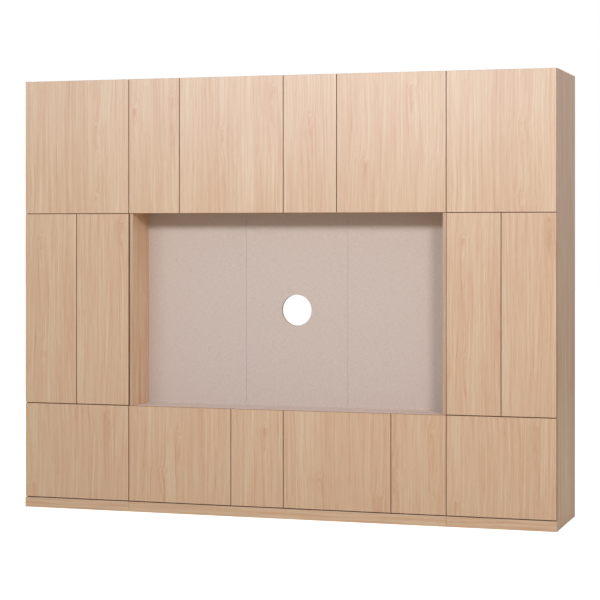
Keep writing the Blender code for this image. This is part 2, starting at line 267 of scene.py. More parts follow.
def noise(tree, place, frequency, detail=2.0, roughness=0.5):
    """Noise with its own frequency along each axis, in cycles a metre."""
    stretched = worked_vector(tree, "MULTIPLY", place, frequency)
    made = add_node(
        tree, "TexNoise", Vector=stretched, Scale=1.0, Detail=detail, Roughness=roughness
    )
    return made.outputs["Fac"]


def ranged(tree, value, low, high, first, last):
    """A value taken from the range low to high into the range first to last."""
    made = add_node(
        tree, "MapRange", Value=value, From_Min=low, From_Max=high, To_Min=first, To_Max=last
    )
    return made.outputs[0]


def graded(tree, factor, *stops):
    """The colour of a ramp, each stop being a position and a colour."""
    made = add_node(tree, "ValToRGB", Fac=factor)
    elements = made.color_ramp.elements
    for element, (position, colour) in zip(elements[:], (stops[0], stops[-1])):
        element.position = position
        element.color = colour
    for position, colour in stops[1:-1]:
        elements.new(position).color = colour
    return made.outputs[0]


def relief(tree, height, strength, depth):
    """A surface normal raised by a pattern, its depth in metres."""
    return add_node(tree, "Bump", Strength=strength, Distance=depth, Height=height).outputs[0]


def oak_print(name, start=(0, 0, 0), sheet=(0, 0, 0), along="Z", flames=(), tone=(1, 1, 1),
              gloss=plain_gloss, broad=0.42, shine=1.0):
    """Oak decor with its grain along an axis, begun at start on a place of the printed sheet.

    Boards begun alike carry the same figure. A flame is (across, up, width, length, pull), in
    metres: a place where the growth rings close quickly above and slowly below. Gloss is the
    lowest roughness, broad the share of the wide bands in the ground, and shine the specular level.
    """
    made, tree, shader = new_finish(name)
    place = add_node(tree, "TexCoord").outputs["Object"]
    from_start = worked_vector(tree, "SUBTRACT", place, start)
    grain = add_node(
        tree, "Mapping", Vector=from_start, Rotation=grain_turns[along], Location=sheet
    ).outputs[0]
    drift = centred(tree, noise(tree, grain, sway_scale), sway_reach)
    heart = 0.0
    for across, up, width, length, pull in flames:
        to_centre = worked_vector(tree, "SUBTRACT", from_start, (across, 0, up))
        below = worked_vector(tree, "MULTIPLY", to_centre, (1 / width, 0, 1 / length))
        above = worked_vector(tree, "MULTIPLY", to_centre, (1 / width, 0, flame_closing / length))
        away = worked_vector(tree, "ABSOLUTE", worked_vector(tree, "MAXIMUM", below, above))
        distance = worked_vector(tree, "DOT_PRODUCT", away, (1, 1, 1), output=1)
        hill = worked(tree, "POWER", math.exp(-1), distance)
        drift = total(tree, drift, worked(tree, "MULTIPLY", hill, pull))
        heart = total(tree, heart, worked(tree, "MULTIPLY", hill, heart_shade))
    aside = add_node(tree, "CombineXYZ", X=drift, Y=drift).outputs[0]
    rings = worked_vector(tree, "ADD", grain, aside)

    bands = noise(tree, rings, band_scale, detail=0.5)
    hues = noise(tree, rings, hue_scale, detail=3, roughness=0.7)
    lines = noise(tree, rings, line_scale, detail=3, roughness=0.7)
    streaks = noise(tree, rings, streak_scale)
    fibres = noise(tree, rings, fibre_scale)
    pores = noise(tree, rings, pore_scale, detail=1)
    bands_and_hues = total(
        tree, worked(tree, "MULTIPLY", bands, broad), worked(tree, "MULTIPLY", hues, 1 - broad)
    )
    ground = graded(
        tree, bands_and_hues, (0.26, tan_print), (0.50, middle_print), (0.74, pale_print)
    )
    fine = centred(tree, fibres, fibre_contrast)
    pits = ranged(tree, pores, 0.58, 0.72, *pore_shades)
    brown = ranged(tree, streaks, 0.55, 0.72, *streak_shades)
    level = total(tree, centred(tree, lines, line_contrast), brown, fine, heart, pits)
    levels = add_node(tree, "CombineXYZ", X=level, Y=level, Z=level).outputs[0]
    tint = worked_vector(tree, "MULTIPLY", levels, colour_shares)
    strength = worked_vector(tree, "MULTIPLY", worked_vector(tree, "ADD", tint, (1, 1, 1)), tone)
    feed_all(
        tree, shader,
        Base_Color=worked_vector(tree, "MULTIPLY", ground, strength),
        Roughness=ranged(tree, fibres, 0.0, 1.0, gloss, gloss + 0.10),
        Specular_IOR_Level=shine,
        Normal=relief(tree, total(tree, fine, pits), 0.12, 0.0004),
    )
    return made


def chip_core(name):
    """Raw chipboard: pressed flakes a millimetre or two across."""
    made, tree, shader = new_finish(name)
    place = add_node(tree, "TexCoord").outputs["Object"]
    flakes = add_node(tree, "TexVoronoi", Vector=place, Scale=620.0)
    dark_flake = (0.27, 0.17, 0.09, 1)
    pale_flake = (0.58, 0.43, 0.27, 1)
    feed_all(
        tree, shader,
        Base_Color=graded(tree, flakes.outputs["Color"], (0.0, dark_flake), (1.0, pale_flake)),
        Roughness=0.85,
        Normal=relief(tree, flakes.outputs["Distance"], 0.5, 0.0006),
    )
    return made


def ease(shape, edges, offset, segments=2):
    """Rounds edges of a bmesh."""
    bmesh.ops.bevel(
        shape, geom=list(edges), offset=offset, segments=segments, profile=0.5,
        affect="EDGES", material=-1,
    )


def add_slab(shape, low, high, arris):
    """A board between two corners, with its edges eased."""
    corners = bmesh.ops.create_cube(shape, size=1)["verts"]
    low = Vector(low)
    high = Vector(high)
    bmesh.ops.scale(shape, vec=high - low, verts=corners)
    bmesh.ops.translate(shape, vec=(low + high) / 2, verts=corners)
    edges = dict.fromkeys(edge for corner in corners for edge in corner.link_edges)
    ease(shape, edges, arris)


def add_bore(shape, centre, axis, diameter, length, facets):
    """A closed cylinder centred on a point."""
    turn = Vector((0, 0, 1)).rotation_difference(Vector(axis)).to_matrix().to_4x4()
    bmesh.ops.create_cone(
        shape, cap_ends=True, segments=facets, radius1=diameter / 2, radius2=diameter / 2,
        depth=length, matrix=Matrix.Translation(centre) @ turn,
    )


def paint_faces(shape, way, number, lean=0.9):
    """Gives the faces that look a way, such as +Y for the rear, the finish of that number."""
    axis = "XYZ".index(way[1])
    sign = 1 if way[0] == "+" else -1
    shape.normal_update()
    for face in shape.faces:
        if face.normal[axis] * sign > lean:
            face.material_index = number


def bored(shape, tools, finishes=(), number=0):
    """Cuts one bmesh out of another. The walls of the cut take the finish of that number."""
    for face in tools.faces:
        face.material_index = number
    blanks = []
    for part in (shape, tools):
        mesh = bpy.data.meshes.new("blank")
        part.to_mesh(mesh)
        part.free()
        for finish in finishes:
            mesh.materials.append(finish)
        blank = bpy.data.objects.new("blank", mesh)
        bpy.context.scene.collection.objects.link(blank)
        blanks.append(blank)
    cut = blanks[0].modifiers.new("cut", "BOOLEAN")
    cut.operation = "DIFFERENCE"
    cut.solver = "EXACT"
    cut.use_self = True
    cut.object = blanks[1]
    evaluated = blanks[0].evaluated_get(bpy.context.evaluated_depsgraph_get())
    result = bmesh.new()
    result.from_mesh(evaluated.to_mesh())
    evaluated.to_mesh_clear()
    for blank in blanks:
        mesh = blank.data
        bpy.data.objects.remove(blank)
        bpy.data.meshes.remove(mesh)
    return result


def finish_piece(name, shape, finishes, body, nodes=(), sharp=20):
    """Turns a bmesh into a piece of the unit, riding on a body when one is given, for its CAD
    nodes.
    """
    mesh = bpy.data.meshes.new(name)
    shape.to_mesh(mesh)
    shape.free()
    for finish in finishes:
        mesh.materials.append(finish)
    mesh.shade_smooth()
    mesh.set_sharp_from_angle(angle=math.radians(sharp))
    made = bpy.data.objects.new(name, mesh)
    bpy.context.scene.collection.objects.link(made)
    if body:
        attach(made, body)
    if nodes:
        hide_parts(*nodes)
    return made


core = chip_core("chipboard_core")
end_band = oak_print("end_band", along="X", sheet=(6.1, 0.8, 2.3), gloss=dull_gloss)
carcass_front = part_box("left_column_bottom")[0].y
back_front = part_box("left_column_back")[0].y
back_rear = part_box("left_column_back")[1].y
right_inside = (
    "left_column_outer_side", "run_left_side", "bridge_left_side", "right_column_inner_side",
)
left_inside = (
    "left_column_inner_side", "run_right_side", "bridge_right_side", "right_column_outer_side",
)
both_inside = ("run_partition", "bridge_partition")
shelf_sides = {
    "left_column_middle_shelf_1": ("left_column_outer_side", "left_column_inner_side"),
    "left_column_middle_shelf_2": ("left_column_outer_side", "left_column_inner_side"),
    "left_column_top_shelf": ("left_column_outer_side", "left_column_inner_side"),
    "right_column_middle_shelf_1": ("right_column_inner_side", "right_column_outer_side"),
    "right_column_middle_shelf_2": ("right_column_inner_side", "right_column_outer_side"),
    "right_column_top_shelf": ("right_column_inner_side", "right_column_outer_side"),
    "run_shelf_left": ("run_left_side", "run_partition"),
    "run_shelf_right": ("run_partition", "run_right_side"),
    "bridge_shelf_left": ("bridge_left_side", "bridge_partition"),
    "bridge_shelf_right": ("bridge_partition", "bridge_right_side"),
}
# A side's solid holds its hinge arms and pins too, so its board is measured from its plain face
board_faces = {}
for name in right_inside + left_inside + both_inside:
    low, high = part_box(name)
    if name in right_inside:
        board_faces[name] = (low.x, low.x + board)
    elif name in left_inside:
        board_faces[name] = (high.x - board, high.x)
    else:
        middle = (low.x + high.x) / 2
        board_faces[name] = (middle - board / 2, middle + board / 2)

for number, (name, (left, right)) in enumerate(board_faces.items()):
    low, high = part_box(name)
    side = bmesh.new()
    add_slab(side, (left, carcass_front, low.z), (right, high.y, high.z), board_arris)
    paint_faces(side, "+Y", 1)
    paint_faces(side, "+Z", 2)
    paint_faces(side, "-Z", 2)
    cuts = bmesh.new()
    if name not in both_inside:
        inner = right if name in right_inside else left
        add_slab(
            cuts,
            (inner - groove_depth, back_front - groove_play, low.z - board),
            (inner + groove_depth, back_rear + groove_play, high.z + board),
            board_arris,
        )
    for shelf, (first, second) in shelf_sides.items():
        if name not in (first, second):
            continue
        face = right if name == first else left
        shelf_low, shelf_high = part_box(shelf)
        for y in (shelf_low.y + pin_setback, shelf_high.y - pin_setback):
            for step in range(-pin_holes_each_way, pin_holes_each_way + 1):
                centre = (face, y, shelf_low.z - pin_drop + step * pin_hole_pitch)
                add_bore(cuts, centre, (1, 0, 0), pin_hole_diameter, 2 * pin_hole_depth, facets=10)
    side_print = oak_print(
        f"{name}_print", start=(left, carcass_front, low.z),
        sheet=(number * 1.7, 0.4, number * 3.1), broad=1.25,
    )
    finishes = [side_print, core, end_band]
    side = bored(side, cuts, finishes, 1)
    finish_piece(name + "_board", side, finishes, "carcass", [name])


# Bottoms, decks and tops
# Chipboard boards between the sides, with the grain running across, dull in print and raw at the
# rear.
level_names = [
    f"{column}_{level}"
    for column in ("left_column", "right_column")
    for level in ("bottom", "lower_deck", "upper_deck", "top")
] + ["run_bottom", "bridge_bottom", "bridge_top"]
level_print = oak_print("level_print", along="X", sheet=(5.3, 2.2, 0.7), gloss=dull_gloss)
for name in level_names:
    low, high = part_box(name)
    level = bmesh.new()
    add_slab(level, (low.x, carcass_front, high.z - board), high, board_arris)
    paint_faces(level, "+Y", 1)
    finishes = [level_print, core]
    finish_piece(name + "_board", level, finishes, "carcass", [name])


# Shelves
# Ten loose boards of the same make, shorter by the play at each end and set back from the doors.
shelf_print = oak_print("shelf_print", along="X", sheet=(1.9, 6.6, 4.1))
for name in shelf_sides:
    low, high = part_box(name)
    shelf = bmesh.new()
    add_slab(shelf, low, high, board_arris)
    paint_faces(shelf, "+Y", 1)
    finish_piece(name + "_board", shelf, [shelf_print, core], "carcass", [name])


# Shelf pins
# Turned steel pins, four under each shelf, pushed into the drilled rows.
pin_diameter = 0.005
pin_reach = 0.008
pin_buried = 0.007
pin_ease = 0.0006


def new_metal(name, colour, roughness, mottle):
    """Plated steel, with its gloss mottled at a frequency."""
    made, tree, shader = new_finish(name)
    place = add_node(tree, "TexCoord").outputs["Object"]
    cloud = noise(tree, place, (mottle, mottle, mottle), detail=3)
    feed_all(
        tree, shader, Base_Color=colour, Metallic=1.0,
        Roughness=ranged(tree, cloud, 0.0, 1.0, roughness - 0.04, roughness + 0.04),
        Normal=relief(tree, cloud, 0.03, 0.0001),
    )
    return made


nickel = new_metal("nickel_plate", (0.72, 0.70, 0.67, 1), 0.32, 220)
zinc = new_metal("zinc_plate", (0.58, 0.59, 0.61, 1), 0.40, 420)
for shelf, (first, second) in shelf_sides.items():
    pins = bmesh.new()
    low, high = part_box(shelf)
    for side, inward in ((first, 1), (second, -1)):
        face = board_faces[side][1 if inward > 0 else 0]
        for y in (low.y + pin_setback, high.y - pin_setback):
            middle = (face + inward * (pin_reach - pin_buried) / 2, y, low.z - pin_drop)
            add_bore(pins, middle, (inward, 0, 0), pin_diameter, pin_reach + pin_buried, facets=16)
    ends = [edge for edge in pins.edges if abs(edge.verts[0].co.x - edge.verts[1].co.x) < 1e-6]
    ease(pins, ends, pin_ease)
    finish_piece(shelf + "_pins", pins, [nickel], "carcass", sharp=40)


# Backs
# Thin fibre board slid into the grooves, printed inside and left brown at the rear.


def mixed(tree, factor, first, second):
    """The output of a colour mix."""
    made = add_node(tree, "Mix", {"data_type": "RGBA"})
    # The node's colours are its inputs 6 and 7 and its output 2
    for number, value in ((0, factor), (6, first), (7, second)):
        feed(tree, made.inputs[number], value)
    return made.outputs[2]


def fibre_board(name):
    """Pressed brown fibre, in fine wisps under faint clouds."""
    made, tree, shader = new_finish(name)
    place = add_node(tree, "TexCoord").outputs["Object"]
    wisps = noise(tree, place, (520, 520, 520), detail=4, roughness=0.7)
    clouds = worked(tree, "MULTIPLY", noise(tree, place, (6, 6, 6)), 0.3)
    brown = graded(tree, wisps, (0.32, (0.34, 0.23, 0.145, 1)), (0.70, (0.46, 0.335, 0.225, 1)))
    feed_all(
        tree, shader,
        Base_Color=mixed(tree, clouds, brown, (0.52, 0.40, 0.28, 1)),
        Roughness=0.75,
        Normal=relief(tree, wisps, 0.12, 0.0002),
    )
    return made


brown_fibre = fibre_board("brown_fibre_board")
back_print = oak_print("back_print", sheet=(7.7, 1.1, 2.9))
for name in ("left_column_back", "right_column_back", "run_back", "bridge_back"):
    low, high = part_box(name)
    back = bmesh.new()
    add_slab(back, low, high, board_arris)
    for face in back.faces:
        face.material_index = 1
    paint_faces(back, "-Y", 0)
    finishes = [back_print, brown_fibre]
    finish_piece(name + "_board", back, finishes, "carcass", [name])


# Worktop
# One board over the low run, faced with a woven-look beige laminate, and housed for the feet of the
# niche's linings and back boards.
linen_colour = (0.526, 0.424, 0.364)


def linen_print(name, flat_axis, start=(0, 0, 0), tone=1.0):
    """Beige decor with slubs both ways in its plane, over a fine weave."""
    made, tree, shader = new_finish(name)
    place = add_node(tree, "TexCoord").outputs["Object"]
    from_start = worked_vector(tree, "SUBTRACT", place, start)
    turn = (math.radians(90), 0, 0) if flat_axis == "Z" else (0, 0, 0)
    cloth = add_node(tree, "Mapping", Vector=from_start, Rotation=turn).outputs[0]
    mottle = noise(tree, cloth, (95, 95, 95), detail=3, roughness=0.6)
    weft = noise(tree, cloth, (34, 34, 560))
    warp = noise(tree, cloth, (560, 34, 34))
    threads = total(tree, weft, warp)
    level = centred(tree, threads, 0.30, middle=1.0)
    soft = centred(tree, mottle, 0.26)
    strength = worked(tree, "MULTIPLY", total(tree, level, soft, 1.0), tone)
    colour = add_node(
        tree, "VectorMath", {"operation": "SCALE"}, Vector=linen_colour, Scale=strength
    )
    feed_all(
        tree, shader, Base_Color=colour.outputs[0], Roughness=0.62,
        Normal=relief(tree, threads, 0.3, 0.0004),
    )
    return made


# The laminate is lightened by its tone: a painted sheen on the worktop.
worktop_linen_painted_sheen = linen_print("worktop_linen_painted_sheen", "Z", tone=1.26)
low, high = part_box("run_countertop")
lining_low, lining_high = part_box("niche_lining_left")
other_low, other_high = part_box("niche_lining_right")
boards_low, boards_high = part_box("niche_board_left")
counter = bmesh.new()
add_slab(counter, (low.x, carcass_front, high.z - board), high, board_arris)
paint_faces(counter, "+Y", 1)
paint_faces(counter, "-Z", 2)
paint_faces(counter, "-Y", 2)
housings = bmesh.new()
over = high.z + board
for left, right in ((lining_low.x, lining_high.x), (other_low.x, other_high.x)):
    add_slab(
        housings,
        (left - groove_play, carcass_front - board, lining_low.z - groove_play),
        (right + groove_play, lining_high.y + groove_play, over),
        board_arris,
    )
add_slab(
    housings,
    (lining_low.x, boards_low.y - groove_play, lining_low.z - groove_play),
    (other_high.x, boards_high.y + groove_play, over),
    board_arris,
)
finishes = [worktop_linen_painted_sheen, core, level_print]
counter = bored(counter, housings, finishes, 1)
finish_piece(
    "run_countertop_board", counter, finishes, "carcass", ["run_countertop"]
)


# Niche linings
# Two upright boards at the niche's sides, printed like the doors, with a darker band in front.
# Their print is lightened by its tone as painted light on their faces. They stand forward of the
# carcass and are notched over the worktop's front edge.


def ease_sharp(shape, angle, offset, segments=2):
    """Rounds every edge of a bmesh whose faces meet at more than an angle."""
    shape.normal_update()
    edges = [edge for edge in shape.edges if edge.calc_face_angle(0) > math.radians(angle)]
    ease(shape, edges, offset, segments)


def eased(node, arris):
    """A CAD board as one clean mesh with its edges eased."""
    shape = bmesh.new()
    shape.from_mesh(frame["nodes"][node].data)
    bmesh.ops.remove_doubles(shape, verts=shape.verts, dist=0.00001)
    bmesh.ops.dissolve_limit(
        shape, angle_limit=math.radians(1), verts=shape.verts, edges=shape.edges, delimit=set()
    )
    ease_sharp(shape, 30, arris)
    return shape


for number, name in enumerate(("niche_lining_left", "niche_lining_right")):
    low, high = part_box(name)
    lining = eased(name, board_arris)
    paint_faces(lining, "+Y", 1)
    paint_faces(lining, "-Y", 2)
    # The faces' print is lightened by its tone: painted light.
    lining_print_painted_light = oak_print(
        f"{name}_print", start=low, sheet=(3.3 + number, 8.8, 6.2), tone=(1.16, 1.16, 1.15),
        broad=0.8,
    )
    lining_band = oak_print(
        f"{name}_band", start=low, sheet=(7.3 + number, 1.8, 3.2), tone=(0.82, 0.78, 0.76)
    )
    finishes = [lining_print_painted_light, core, lining_band]
    finish_piece(name + "_board", lining, finishes, "carcass", [name])


# Niche back boards
# Three beige boards let into the worktop, the middle one cut through for the cables. The hole's
# wall shows the brown core.
hole_wall = chip_core("hole_wall")
seam_arris = 0.0002
hole_diameter = 0.170
hole_ease = 0.0005
hole_facets = 64
for name in ("niche_board_left", "niche_board_middle", "niche_board_right"):
    low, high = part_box(name)
    middle = (low + high) / 2
    panel = bmesh.new()
    add_slab(panel, low, high, seam_arris)
    paint_faces(panel, "+Y", 1)
    finishes = [linen_print(f"{name}_linen", "Y", start=low), hole_wall]
    if name == "niche_board_middle":
        drill = bmesh.new()
        add_bore(drill, middle, (0, 1, 0), hole_diameter, 2 * board, hole_facets)
        for face_y, facing in ((low.y, -1), (high.y, 1)):
            rim = Matrix.Translation((middle.x, face_y + facing * hole_ease / 2, middle.z))
            bmesh.ops.create_cone(
                drill, cap_ends=True, segments=hole_facets, depth=3 * hole_ease,
                radius1=hole_diameter / 2 - hole_ease, radius2=hole_diameter / 2 + 2 * hole_ease,
                matrix=rim @ Matrix.Rotation(-facing * math.radians(90), 4, "X"),
            )
        panel = bored(panel, drill, finishes, 1)
    finish_piece(name + "_panel", panel, finishes, "carcass", [name])


# Seam filler
# Beige joint filler between the three back boards, drawn a little below their faces, so that no
# light comes through from behind. Its darker tone is painted shade in the seams.
filler_depth = 0.0009
# Darkened by its tone: painted shade in the seams.
filler_linen_painted_shade = linen_print("filler_linen_painted_shade", "Y", tone=0.56)
filler = bmesh.new()
for left, right in (
    ("niche_board_left", "niche_board_middle"),
    ("niche_board_middle", "niche_board_right"),
):
    left_low, left_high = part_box(left)
    right_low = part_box(right)[0]
    add_slab(
        filler,
        (left_high.x - seam_arris / 2, left_low.y + filler_depth, left_low.z),
        (right_low.x + seam_arris / 2, left_high.y - filler_depth, left_high.z),
        seam_arris / 2,
    )
finish_piece("niche_seam_filler", filler, [filler_linen_painted_shade], "carcass")


# Plinth
# Three boards along the floor, flush with the doors, their grain lying level.
for number, name in enumerate(("plinth_left", "plinth_middle", "plinth_right")):
    low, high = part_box(name)
    plinth = eased(name, board_arris)
    paint_faces(plinth, "+Y", 1)
    plinth_print = oak_print(
        f"{name}_print", start=low, along="X", sheet=(2.2, 4.4, 9.1 + number)
    )
    finishes = [plinth_print, core]
    finish_piece(name + "_board", plinth, finishes, "carcass", [name])


# Doors
# Sixteen slabs with printed faces and browner, dull bands round their edges, bored at the back for
# the cups of their hinges. The bands' darkness is partly their own browner colour and partly
# painted shade in the gaps between the doors. The places of the flames follow the photograph, where
# the left column's doors and the right's show one figure.
door_arris = 0.001
band_lean = 0.3
band_shine = 0.2
cup_inset = 0.0225
cup_bore = 0.033
cup_depth = 0.0115
hinge_inset = 0.090
tall_door = 0.9
flame_width = 0.020
flame_length = 0.20
flame_pull = 0.040
door_data = {
    # name: (side that carries it, sheet of the print, flames as shares of the width and height)
    "base_door_1": ("left_column_outer_side", 11, ((0.08, 0.12), (0.79, 0.90))),
    "base_door_2": ("run_left_side", 12, ((0.48, 0.70), (0.31, 0.35))),
    "base_door_3": ("run_partition", 13, ((0.63, 0.80),)),
    "base_door_4": ("run_partition", 14, ((0.32, 0.31), (0.87, 0.12))),
    "base_door_5": ("run_right_side", 15, ((0.04, 0.42), (0.70, 0.85))),
    "base_door_6": ("right_column_outer_side", 11, ((0.08, 0.12), (0.79, 0.90))),
    "middle_door_1": ("left_column_outer_side", 21, ((0.31, 0.27), (0.29, 0.87))),
    "middle_door_2": ("left_column_inner_side", 22, ((0.84, 0.95),)),
    "middle_door_3": ("right_column_inner_side", 21, ((0.31, 0.27), (0.29, 0.87))),
    "middle_door_4": ("right_column_outer_side", 22, ((0.84, 0.95),)),
    "top_door_1": ("left_column_outer_side", 31, ((0.68, 0.63), (0.68, 0.12))),
    "top_door_2": ("bridge_left_side", 32, ((0.09, 0.77), (0.85, 0.85))),
    "top_door_3": ("bridge_partition", 33, ((0.88, 0.90), (0.40, 0.60))),
    "top_door_4": ("bridge_partition", 34, ((0.48, 0.68),)),
    "top_door_5": ("bridge_right_side", 35, ((0.68, 0.88), (0.25, 0.35))),
    "top_door_6": ("right_column_outer_side", 31, ((0.68, 0.63), (0.68, 0.12))),
}
# The bands' tone is the browner edge banding darkened further: painted shade in the door gaps.
level_band_and_gap_shade = oak_print(
    "level_band_and_gap_shade", along="X", sheet=(0.9, 3.7, 5.8), tone=(0.63, 0.52, 0.45), gloss=dull_gloss,
    shine=band_shine,
)
upright_band_and_gap_shade = oak_print(
    "upright_band_and_gap_shade", sheet=(4.9, 1.7, 8.8), tone=(0.54, 0.44, 0.38), shine=band_shine
)


def hinge_heights(low, high):
    """One hinge near each end of a door, and one midway on a tall one."""
    count = 3 if high.z - low.z > tall_door else 2
    step = (high.z - low.z - 2 * hinge_inset) / (count - 1)
    return [low.z + hinge_inset + step * number for number in range(count)]


# The way along X from each door's hinged edge to its free one, as +1 or -1
door_inward = {joint["child"][: -len("_leaf")]: -joint["axis"][2] for joint in frame["joints"]}


def hinged_edge(name):
    """The x of a door's hinged edge."""
    low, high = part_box(name)
    return low.x if door_inward[name] > 0 else high.x


for name, (_, sheet, figure) in door_data.items():
    low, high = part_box(name)
    edge = hinged_edge(name)
    inward = door_inward[name]
    door_back = low.y + board
    door = bmesh.new()
    add_slab(door, low, (high.x, door_back, high.z), door_arris)
    for way, number in (("+Z", 1), ("-Z", 1), ("+X", 3), ("-X", 3)):
        paint_faces(door, way, number, band_lean)
    cups = bmesh.new()
    for height in hinge_heights(low, high):
        centre = (edge + inward * cup_inset, door_back, height)
        add_bore(cups, centre, (0, 1, 0), cup_bore, 2 * cup_depth, facets=32)
    flames = [
        (share * (high.x - low.x), rise * (high.z - low.z), flame_width, flame_length, flame_pull)
        for share, rise in figure
    ]
    door_print = oak_print(f"{name}_print", start=low, sheet=(sheet, 0, sheet / 2), flames=flames)
    finishes = [door_print, level_band_and_gap_shade, core, upright_band_and_gap_shade]
    door = bored(door, cups, finishes, 2)
    finish_piece(name + "_slab", door, finishes, name + "_leaf", [name])


# Hinge cups
# The door halves of thirty-six concealed hinges: a pressed nickel cup with its flange screwed to
# the back of the door, and the pin that the links hang on.
flange_length = 0.062
flange_width = 0.024
flange_thickness = 0.0012
flange_corner = 0.0072
flange_ease = 0.0003
flange_screw_pitch = 0.045
cup_mouth = 0.0308
cup_wall = 0.0008
cup_hollow = 0.0100
cup_foot = 0.0015
cup_lip = 0.0002
cup_rim = 0.0005
hinge_pin_diameter = 0.0045
hinge_pin_length = 0.026488
hinge_pin_inset = 0.0075
hinge_pin_depth = 0.005
screw_head = 0.0070
screw_crown = 0.00504
screw_height = 0.0016
screw_slot_width = 0.0011
screw_slot_length = 0.00392
screw_slot_depth = 0.00088


def add_block(shape, centre, size, turn=Matrix.Identity(4)):
    """A sharp-edged block centred on a point."""
    bmesh.ops.create_cube(
        shape, size=1, matrix=Matrix.Translation(centre) @ turn @ Matrix.Diagonal((*size, 1))
    )


def stamp(shape, template, matrix=Matrix.Identity(4)):
    """Adds a copy of a small mesh to a bmesh, moved by a matrix."""
    before = len(shape.verts)
    shape.from_mesh(template)
    shape.verts.ensure_lookup_table()
    bmesh.ops.transform(shape, matrix=matrix, verts=shape.verts[before:])


def as_template(name, shape):
    """A small mesh to stamp copies from."""
    mesh = bpy.data.meshes.new(name)
    shape.to_mesh(mesh)
    shape.free()
    return mesh


# A cross-slotted screw head that stands on the origin and faces +Z
head = bmesh.new()
bmesh.ops.create_cone(
    head, cap_ends=True, segments=14, radius1=screw_head / 2, radius2=screw_crown / 2,
    depth=screw_height, matrix=Matrix.Translation((0, 0, screw_height / 2)),
)
slots = bmesh.new()
for turn in (0, math.radians(90)):
    slot_size = (screw_slot_length, screw_slot_width, 2 * screw_slot_depth)
    add_block(slots, (0, 0, screw_height), slot_size, Matrix.Rotation(turn, 4, "Z"))
screw_template = as_template("screw_head", bored(head, slots))

# The door half about the middle of its cup, at the door's back, with +Y out of the door and the
# door's hinged edge on the -X side
flange = bmesh.new()
add_block(flange, (0, flange_thickness / 2, 0), (flange_width, flange_thickness, flange_length))
corners = [
    edge for edge in flange.edges
    if abs(edge.verts[0].co.y - edge.verts[1].co.y) > flange_thickness / 2
]
ease(flange, corners, flange_corner, 5)
ease_sharp(flange, 50, flange_ease)
mouth = bmesh.new()
add_bore(mouth, (0, 0, 0), (0, 1, 0), cup_mouth, 4 * flange_thickness, facets=36)
flange = bored(flange, mouth)
cup = bmesh.new()
outer = cup_mouth / 2 + cup_wall
inner = cup_mouth / 2
profile = (
    (0, -cup_hollow - cup_wall),
    (outer - cup_foot, -cup_hollow - cup_wall),
    (outer, -cup_hollow - cup_wall + cup_foot),
    (outer, flange_thickness + cup_lip),
    (inner + cup_wall / 2, flange_thickness + cup_rim),
    (inner, flange_thickness),
    (inner, -cup_hollow + cup_foot),
    (inner - cup_foot, -cup_hollow),
    (0, -cup_hollow),
)
points = [cup.verts.new((radius, y, 0)) for radius, y in profile]
walls = [cup.edges.new(pair) for pair in zip(points, points[1:])]
bmesh.ops.spin(
    cup, geom=points + walls, axis=(0, 1, 0), cent=(0, 0, 0), angle=math.tau, steps=36,
    use_merge=True,
)
bmesh.ops.remove_doubles(cup, verts=cup.verts, dist=0.00002)
bmesh.ops.recalc_face_normals(cup, faces=cup.faces)
hinge_pin = (-hinge_pin_inset, -hinge_pin_depth, 0)
add_bore(cup, hinge_pin, (0, 0, 1), hinge_pin_diameter, hinge_pin_length, facets=14)
stamp(flange, as_template("cup", cup))
facing_back = Matrix.Rotation(math.radians(-90), 4, "X")
for rise in (-flange_screw_pitch / 2, flange_screw_pitch / 2):
    stamp(flange, screw_template, Matrix.Translation((0, flange_thickness, rise)) @ facing_back)
door_half = as_template("hinge_door_half", flange)


def hinge_turn(inward):
    """A hinge is the same upside down, so the right-hand ones are turned over about Y."""
    return Matrix.Rotation(0 if inward > 0 else math.pi, 4, "Y")


for name in door_data:
    low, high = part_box(name)
    edge = hinged_edge(name)
    inward = door_inward[name]
    cups = bmesh.new()
    for height in hinge_heights(low, high):
        centre = Matrix.Translation((edge + inward * cup_inset, low.y + board, height))
        stamp(cups, door_half, centre @ hinge_turn(inward))
    finish_piece(name + "_hinge_cups", cups, [nickel], name + "_leaf", sharp=32)


# Hinge arms
# The carcass halves: a mounting plate held by two screws, and the cranked arm on it with its two
# adjusting screws. The crank differs with how far the door laps over its side.
plate_height = 0.050
plate_width = 0.022
plate_thickness = 0.0025
plate_corner = 0.0066
plate_ease = 0.0004
plate_setback = 0.037
plate_screw_pitch = 0.032
arm_width = 0.014
arm_length = 0.078
arm_shoulder = 0.022
arm_nose = 0.009
arm_crown = 0.008
arm_tail = 0.006
arm_seat = 0.0015
arm_ease = 0.0018
arm_screw_inset = 0.0283
nose_pin_setback = 0.0036
nose_pin_diameter = 0.004
nose_pin_length = 0.0152
facing_in = Matrix.Rotation(math.radians(90), 4, "Y")


